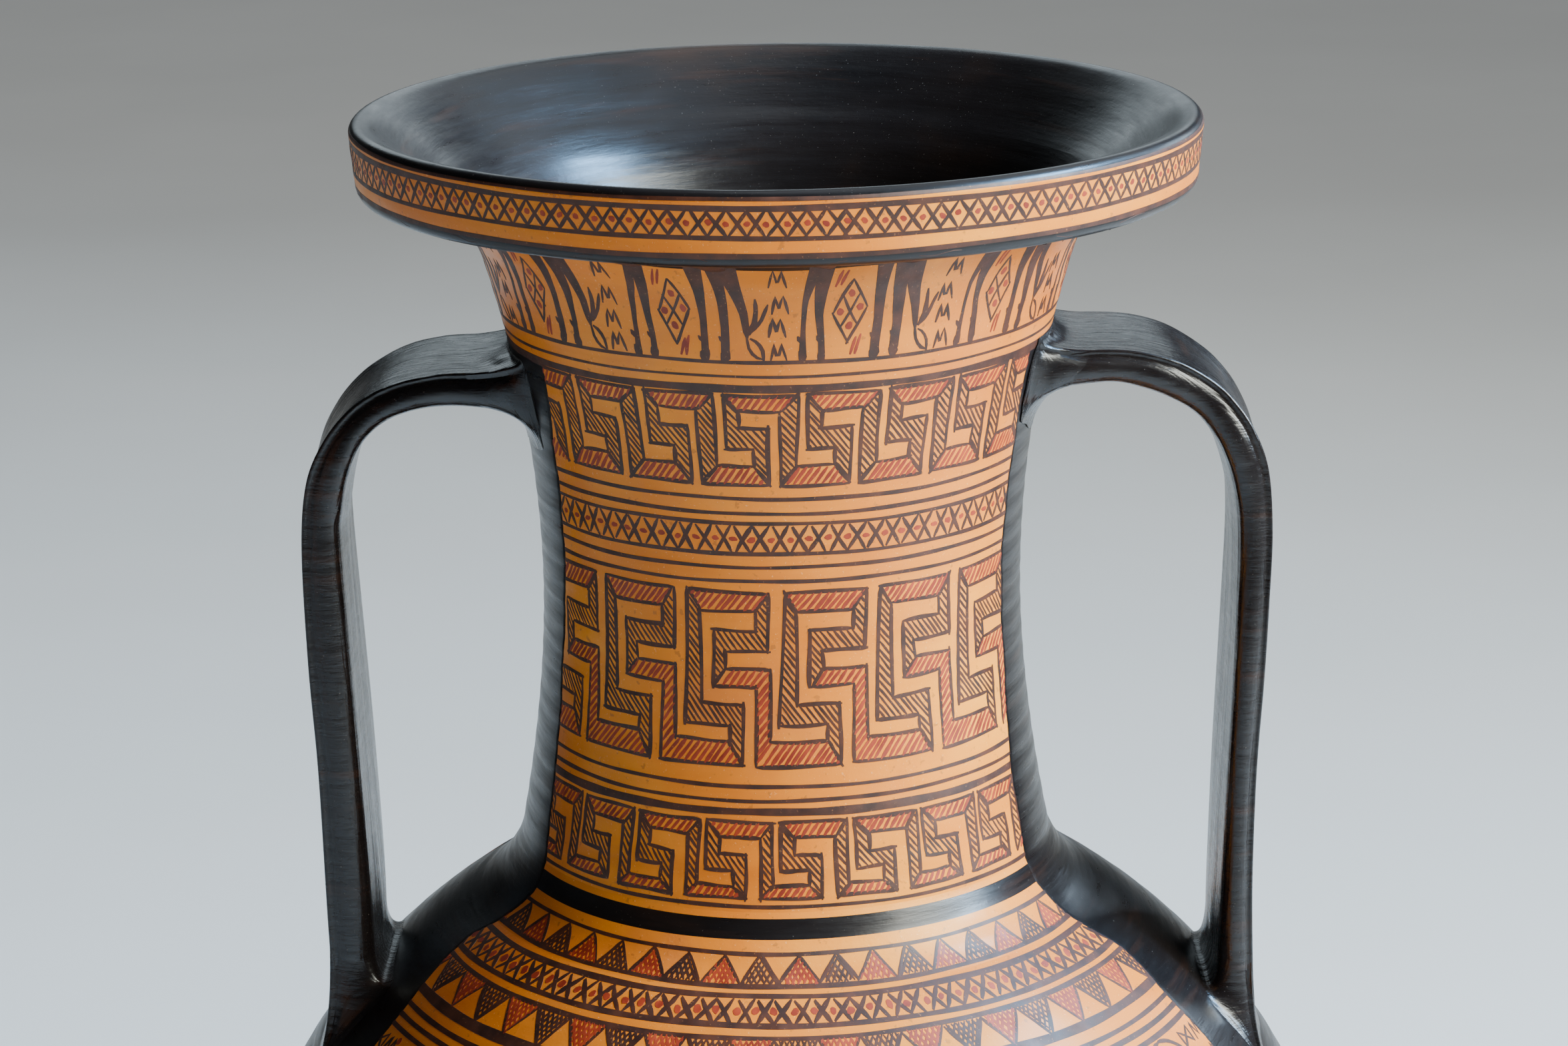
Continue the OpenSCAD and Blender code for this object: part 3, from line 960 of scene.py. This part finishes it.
def deer(ink, red, x):
    """One grazing deer of the frieze under the rim, and the ornaments round it."""
    draw(ink, x, DEER_BELLY + DEER_HIND_LEGS)
    for foot, wide in DEER_HOOVES:
        ink.dot(x + foot - 0.1, 499.0, wide * 0.75, 1.9)
        draw(ink, x + foot, [([(0.3, 503.2), (-0.5, 502.9), (-1.1, 504.2)], [1.6, 1.2, 0.6])])
    for i in range(2):
        red.stroke([(x + 5.6 + 1.0 * i, 517.0 + 0.4 * i), (x + 6.7 + 0.9 * i, 521.6)], 0.85)
        red.stroke([(x + 9.2 + 1.0 * i, 498.8), (x + 10.3 + 0.8 * i, 503.4 + 0.7 * i)], 0.85)
    lozenge(ink, red, x)
    draw(ink, x, DEER_FORE_LEGS + DEER_NECK_AND_HEAD)
    for z in (519.6, 512.4, 506.6, 500.4):
        squiggle(ink, x + 28.4 + rng.uniform(-0.4, 0.4), z + rng.uniform(-0.5, 0.5), 1.6, 4.7)


def frieze(ink, red):
    for x in steps(11, 4.5):
        deer(ink, red, x)


def circle(ink, x, z, radius, width):
    k = mm_per_degree(z)
    turn = np.linspace(0, TAU, 28)
    ink.stroke(np.stack([x + radius * np.sin(turn) / k, z + radius * np.cos(turn)], 1), width,
               sway=0.05)


def shoulder_zone(ink, red, high, low, units=19, start=58):
    """Rings in rings, with bow-ties and columns of little Ms between them."""
    mid, half = (high + low) / 2, (high - low) / 2
    for x in steps(units, start):
        for radius in (half - 1.2, half - 4.0, half - 6.8):
            circle(ink, x, mid, radius, 0.9)
        red.dot(x, mid, 1.8, 1.8)
        tie = [(x + 5.2, high - 5.4), (x + 7.8, high - 2.0), (x + 7.8, high - 5.4),
               (x + 5.2, high - 2.0), (x + 5.2, high - 5.4)]
        for a, b in zip(tie[:-1], tie[1:]):
            line_between(ink, a, b, 0.75, 0.2)
        for row in range(4):
            squiggle(ink, x + 9.8, high - 3.6 - 6 * row, 1.3, 4.2)
        red.dot(x + 11.0, high - 1.9, 0.9, 0.8)


def rim_pattern(ink, red, units=146, low=534.2, high=540.9):
    """A lattice with a red dot in each gap, between lines."""
    pitch = 360 / units
    for x in steps(units):
        x += rng.uniform(-0.2, 0.2)
        for z0, z1 in ((low, high), (high, low)):
            ink.stroke([(x - 0.52 * pitch + rng.uniform(-0.12, 0.12), z0),
                        (x + 0.52 * pitch + rng.uniform(-0.12, 0.12), z1)], 1.0, sway=0.05)
        red.dot(x + pitch / 2, 537.6 + rng.uniform(-0.3, 0.3), 0.85, 0.75)
    rings(ink, RIM_LINES)


# Lines round the vase: (height, width)
RIM_LINES = [(541.2, 1.15), (533.9, 0.9), (RIM_PAINT_LOW, 0.9), (RIM_PAINT_TOP, 0.7)]
NECK_LINES = [(497.3, 0.8), (493.5, 0.6), (490.3, 1.6), (461.4, 0.85), (457.6, 0.85), (454.9, 0.8),
              (446.9, 0.85), (443.5, 0.8), (439.8, 0.8), (387.3, 0.8), (383.7, 0.8), (380.8, 1.6),
              (357.2, 0.8)]
SHOULDER_LINES = [(346.9, 0.7), (340.7, 0.7), (338.9, 0.75), (334.0, 0.8), (332.0, 0.7),
                  (324.8, 1.5), (321.5, 0.8), (319.0, 0.8)]
BODY_LINES = [(291.0, 0.8), (288.0, 0.8), (285.0, 1.6), (233.0, 1.6), (229.6, 0.8), (226.2, 0.8),
              (223.0, 0.8), (213.4, 0.8), (210.0, 0.8), (207.0, 0.8), (196.6, 1.2), (193.2, 0.8),
              (190.0, 0.8), (170.0, 0.8), (166.6, 0.8), (163.2, 0.8), (139.6, 0.8), (136.2, 0.8),
              (132.8, 0.8), (99.0, 0.8), (95.6, 0.8), (60.0, 0.8), (56.8, 0.8)]


def rings(ink, lines):
    for z, width in lines:
        ink.ring(z, width)


def neck_pattern(ink, red):
    rings(ink, NECK_LINES)
    small_meander(ink, red, 21, 5.8, (2.8, 5.7, 9.0, 11.4, 15.0),
                  (488.7, 484.5, 480.0, 474.5, 470.0, 465.0))
    small_meander(ink, red, 22, -1.0, (3.0, 6.0, 8.7, 12.0, 14.6),
                  (378.3, 374.5, 370.0, 366.0, 362.3, 359.3))
    lozenge_chain(ink, red, 84, 2.0, 447.2, 454.6)


def great_meander(ink, red):
    meander(ink, red, 16, 0.0, BIG_BARS, base=392.5)


def shoulder_pattern(ink, red):
    rings(ink, SHOULDER_LINES)
    triangle_row(ink, red, 50, 2.3, 341.0, 346.6)
    lozenge_chain(ink, red, 112, 1.0, 334.2, 338.6, (1.0, 0.68))
    triangle_row(ink, red, 54, 34.5, 331.7, 325.3)
    shoulder_zone(ink, red, 317.0, 291.0)
    ink.ring(317.0, 0.8)


def body_pattern(ink, red):
    rings(ink, BODY_LINES)
    meander(ink, red, 24, 0.0, BIG_BARS, 15 / BIG_WIDE, 236.5, 1.04)
    lozenge_chain(ink, red, 150, 1.0, 213.6, 222.8)
    triangle_row(ink, red, 100, 0.0, 197.0, 206.6)
    small_meander(ink, red, 48, 0.0, (1.3, 2.6, 3.9, 5.1, 6.6),
                  (188.6, 184.8, 181.0, 178.0, 175.0, 171.8))


def paint(ink_name, red_name, pattern):
    """Draw a pattern with the two thin slips, and build their two pieces."""
    ink, red = Paint(ink_name, LINE, "line_slip"), Paint(red_name, RED, "red_slip")
    pattern(ink, red)
    ink.build()
    red.build()


def slip_band(name, low, high):
    """A band of black slip right round the wall, with an uneven brushed edge."""
    rows = max(3, int((high - low) / 1.5))
    deg = np.arange(360.0)
    th = np.radians(deg)
    a, b = rng.uniform(0, TAU, 2)
    z0 = low + 0.15 * np.sin(5 * th + a) + 0.08 * np.sin(17 * th + b)
    z1 = high + 0.15 * np.sin(4 * th + b) + 0.08 * np.sin(19 * th + a)
    z = z0 + (z1 - z0) * np.linspace(0, 1, rows)[:, None]
    lift = np.full(z.shape, BAND_LIFT)
    lift[0] = lift[-1] = EDGE_SINK
    back = z[::-4]
    z = np.vstack([z, back])
    lift = np.vstack([lift, np.full(back.shape, BACK_SINK)])
    pts = on_wall(np.broadcast_to(deg, z.shape), z, lift)
    add_piece(name, pts, ring_faces(*z.shape), [SLIP], "black_slip", crease=BAND_CREASE)


def side_panel(name, side, low, high):
    """The black panel behind one handle. side is -1 for the left and 1 for the right."""
    rows, cols = int((high - low) / 1.2), 70
    z = np.linspace(low, high, rows)[:, None]
    edge = panel_edges(z)[0 if side < 0 else 1]
    jig = rng.normal(0, 0.10, (rows, 2)).cumsum(0)
    jig = 0.5 * np.sin(z / 9 + jig * 0.2) + 0.25 * np.sin(z / 3.1 + 2)
    first, last = edge + jig[:, :1], 180 - edge - jig[:, 1:]
    deg = side * (first + (last - first) * np.linspace(0, 1, cols)[None])
    lift = np.full(deg.shape, PANEL_LIFT)
    lift[:, 0] = lift[:, -1] = lift[0] = lift[-1] = EDGE_SINK
    deg = np.hstack([deg, deg[:, ::-1]])
    lift = np.hstack([lift, np.full((rows, cols), BACK_SINK)])
    pts = on_wall(deg, np.broadcast_to(z, deg.shape), lift)
    i = np.arange(cols - 1)
    cap = np.stack([i + 1, i, 2 * cols - 1 - i, 2 * cols - 2 - i], 1)
    quads = np.vstack([tube_faces(rows, 2 * cols)[0], cap,
                       cap[:, ::-1] + (rows - 1) * 2 * cols])
    add_piece(name, pts, quads, [SLIP], "black_slip", crease=BAND_CREASE)


def paint_black():
    for name, low, high in (("mouth", 521.4, 526.6), ("body", 142, 161), ("lower", 102, 130),
                            ("base", 63, 92), ("foot", 15, 54)):
        slip_band(name + "_slip_band", low, high)
    side_panel("left_side_panel", -1, PANEL_LOW, PANEL_TOP - 0.2)
    side_panel("right_side_panel", 1, PANEL_LOW, PANEL_TOP - 0.2)


# ---- camera, lights and floor ----

# The camera, resected from the photograph: it looks down at TARGET and leans a little
SENSOR, LENS, DISTANCE = 36.0, 105.66, 1.18648
ELEVATION, ROLL = math.radians(16.0), math.radians(-0.78)
TARGET = Vector((0.00072, 0, 0.437))

WORLD_COLOUR, WORLD_STRENGTH = (0.80, 0.86, 0.92), 0.03
CEILING_STRENGTH, CEILING_SIZE, CEILING_COLOUR = 0.95, math.radians(60), (0.94, 0.98, 1.0)
CEILING_TO_RIGHT, CEILING_TO_BACK = math.radians(24), math.radians(-18)
# Soft area lights: (name, place, aim, size, watts, colour, spread in degrees)
LIGHTS = [
    ("window", (1.40, -0.75, 1.28), (0, 0, 0.45), (1.0, 0.9), 50, (1.0, 0.93, 0.76), 140),
    ("side_window", (1.70, -0.28, 1.10), (0, 0, 0.46), (0.30, 0.6), 32, (0.62, 0.81, 1.0), 140),
    ("high_window", (1.22, 0.06, 1.55), (0, 0, 0.50), (0.60, 0.35), 20, (0.34, 0.64, 1.0), 100),
    ("far_window", (1.40, 1.25, 1.00), (0, 0, 0.40), (0.7, 0.5), 5, (0.68, 0.84, 1.0), 140),
    ("warm_fill", (-1.5, -1.3, 0.5), (0, 0, 0.4), (1.0, 1.0), 1.0, (1.0, 0.30, 0.09), 180),
    ("back_sky", (-0.1, 1.9, 1.25), (0, 0, 0.45), (1.6, 0.7), 7, (0.80, 0.92, 0.98), 180)]
FLOOR_HALF = 9.0


def place(name, data, where):
    """Put a camera or lamp into the scene at this matrix."""
    obj = bpy.data.objects.new(name, data)
    bpy.context.scene.collection.objects.link(obj)
    obj.matrix_world = where
    return obj


def build_camera():
    cam = bpy.data.cameras.new("photo_camera")
    cam.sensor_width, cam.lens, cam.clip_start = SENSOR, LENS, 0.05
    ahead = Vector((0, math.cos(ELEVATION), -math.sin(ELEVATION)))
    side, lift = Vector((1, 0, 0)), Vector((0, math.sin(ELEVATION), math.cos(ELEVATION)))
    right = side * math.cos(ROLL) + lift * math.sin(ROLL)
    up = lift * math.cos(ROLL) - side * math.sin(ROLL)
    turn = Matrix((right, up, -ahead)).transposed().to_4x4()
    where = Matrix.Translation(TARGET - ahead * DISTANCE) @ turn
    bpy.context.scene.camera = place("photo_camera", cam, where)


def soft_light(name, spot, aim, size, watts, colour, spread):
    lamp = bpy.data.lights.new(name, "AREA")
    lamp.shape = "RECTANGLE"
    lamp.size, lamp.size_y = size
    lamp.energy, lamp.color, lamp.spread = watts, colour, math.radians(spread)
    turn = (Vector(aim) - Vector(spot)).to_track_quat("-Z", "Y").to_matrix().to_4x4()
    place(name, lamp, Matrix.Translation(spot) @ turn)


def ceiling_light():
    """Even soft light from overhead, which keeps the floor pale from every side."""
    lamp = bpy.data.lights.new("ceiling", "SUN")
    lamp.energy, lamp.angle, lamp.color = CEILING_STRENGTH, CEILING_SIZE, CEILING_COLOUR
    place("ceiling", lamp, Matrix.Rotation(CEILING_TO_RIGHT, 4, "Y")
          @ Matrix.Rotation(CEILING_TO_BACK, 4, "X"))


def build_studio():
    world = bpy.data.worlds.new("studio")
    bpy.context.scene.world = world
    world.use_nodes = True
    feed(world.node_tree, world.node_tree.nodes["Background"],
         {"Color": WORLD_COLOUR, "Strength": WORLD_STRENGTH})
    ceiling_light()
    for light in LIGHTS:
        soft_light(*light)


def floor_material():
    mat, nt, bsdf = new_material("pale_floor")
    col = ramp(nt, noise(nt, 3, 4), [(0.3, (0.72, 0.72, 0.71)), (0.7, (0.76, 0.76, 0.75))])
    feed(nt, bsdf, {"Base Color": col, "Roughness": 0.8})
    return mat


def build_floor():
    s = FLOOR_HALF
    verts = [(-s, -s, 0), (s, -s, 0), (s, s, 0), (-s, s, 0)]
    obj = make_object("floor", verts, np.array([[0, 1, 2, 3]]), [floor_material()])


# ---- everything ----

def build_vessel():
    build_foot()
    build_lower_body()
    build_floor_plug()
    build_inside_coil("lower_join_coil_clay", "lower_join_coil", LOW_JOIN)
    build_middle_body()
    build_inside_coil("belly_join_coil_clay", "belly_join_coil", BELLY_JOIN)
    build_shoulder()
    build_neck_coil()
    build_neck_and_mouth()
    build_rim()
    for build in (build_handle, build_lutings):
        build("left", LEFT_OUT, LEFT_IN, LEFT_SEED)
        build("right", RIGHT_OUT, RIGHT_IN, RIGHT_SEED)


def paint_vessel():
    paint_black()
    paint("rim_brush_lines", "rim_red_dots", rim_pattern)
    paint("deer_frieze_lines", "deer_frieze_red", frieze)
    paint("neck_brush_lines", "neck_red_strokes", neck_pattern)
    paint("great_meander_lines", "great_meander_red", great_meander)
    paint("shoulder_brush_lines", "shoulder_red_strokes", shoulder_pattern)
    paint("body_brush_lines", "body_red_strokes", body_pattern)


build_vessel()
paint_vessel()
build_floor()
build_studio()
build_camera()
